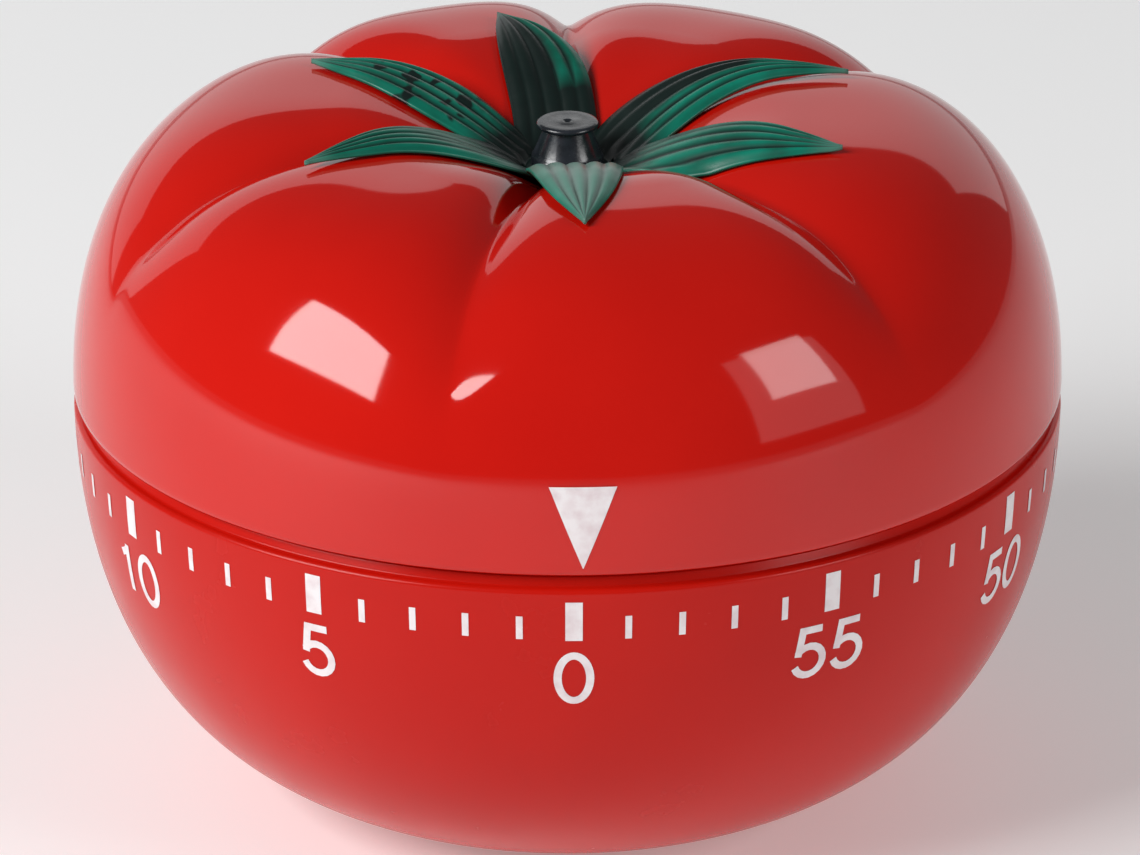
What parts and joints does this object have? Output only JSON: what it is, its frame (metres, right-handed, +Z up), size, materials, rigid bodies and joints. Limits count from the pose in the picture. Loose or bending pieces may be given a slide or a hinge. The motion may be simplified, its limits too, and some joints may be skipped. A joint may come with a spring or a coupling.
{
  "type": "kitchen timer",
  "caption": "Tomato-shaped mechanical kitchen timer: lobed dial with leaves and stem turns on a round base with a minute scale, with a spring movement and bell inside.",
  "frame": {"origin": "centre of the flat foot, on the surface the timer stands on", "axes": "+Z up along the dial's axis, -Y out of the scale's zero mark, +X to the right of it"},
  "size_m": [0.072, 0.072, 0.052],
  "materials": {
    "red_plastic": "gloss",
    "green_plastic": "gloss",
    "black_plastic": "gloss",
    "steel": "satin",
    "brass": "satin",
    "spring_steel": "satin",
    "nickel": "polished"
  },
  "bodies": {
    "case": {"lower_shell": "red_plastic", "deck": "red_plastic", "stop_pin": "steel", "case_screw_1": "steel", "case_screw_2": "steel", "case_screw_3": "steel", "front_plate": "steel", "back_plate": "steel", "pillar_1": "brass", "pillar_2": "brass", "pillar_3": "brass", "pillar_nut_1": "steel", "pillar_nut_2": "steel", "pillar_nut_3": "steel", "movement_screw_1": "steel", "movement_screw_2": "steel", "movement_screw_3": "steel", "mainspring": "spring_steel", "spring_post": "steel", "hammer_spring": "spring_steel", "bell": "nickel", "bell_post": "steel", "bell_screw": "steel"},
    "dial": {"upper_shell": "red_plastic", "calyx": "green_plastic", "stem": "black_plastic", "main_arbor": "steel", "arbor_clip": "spring_steel", "main_wheel": "brass", "clutch_washer": "spring_steel", "trip_cam": "steel"},
    "second_wheel_set": {"second_arbor": "steel", "second_wheel": "brass"},
    "third_wheel_set": {"third_arbor": "steel", "third_wheel": "brass"},
    "escape_wheel_set": {"escape_arbor": "steel", "escape_wheel": "brass"},
    "pallets": {"anchor_staff": "steel", "pallet_lever": "steel", "balance_bar": "brass"},
    "hammer": {"hammer_staff": "steel", "hammer_finger": "steel", "hammer_arm": "steel", "hammer_head": "brass"}
  },
  "joints": [
    {"name": "dial_turn", "type": "hinge", "parent": "case", "child": "dial", "pos_m": [0, 0, 0.03], "axis": [0, 0, 1], "range_deg": [-357, 0], "stiffness_Nm_per_rad": 0.002},
    {"name": "second_wheel_spin", "type": "hinge", "parent": "case", "child": "second_wheel_set", "pos_m": [-0.0115, -0.00419, 0.02], "axis": [0, 0, 1], "continuous": true},
    {"name": "third_wheel_spin", "type": "hinge", "parent": "case", "child": "third_wheel_set", "pos_m": [-0.01138, 0.00669, 0.02], "axis": [0, 0, 1], "continuous": true},
    {"name": "escape_wheel_spin", "type": "hinge", "parent": "case", "child": "escape_wheel_set", "pos_m": [-0.00412, 0.01286, 0.02], "axis": [0, 0, 1], "continuous": true},
    {"name": "pallet_swing", "type": "hinge", "parent": "case", "child": "pallets", "pos_m": [0.00187, 0.01539, 0.02], "axis": [0, 0, 1], "range_deg": [-3, 3]},
    {"name": "hammer_swing", "type": "hinge", "parent": "case", "child": "hammer", "pos_m": [0.013, -0.01, 0.02], "axis": [0, 0, 1], "range_deg": [-6, 2.5], "stiffness_Nm_per_rad": 0.0005}
  ],
  "couplings": [
    {"joint": "second_wheel_spin", "follows": "dial_turn", "ratio": -7.5},
    {"joint": "third_wheel_spin", "follows": "dial_turn", "ratio": 56.25},
    {"joint": "escape_wheel_spin", "follows": "dial_turn", "ratio": -421.88}
  ]
}
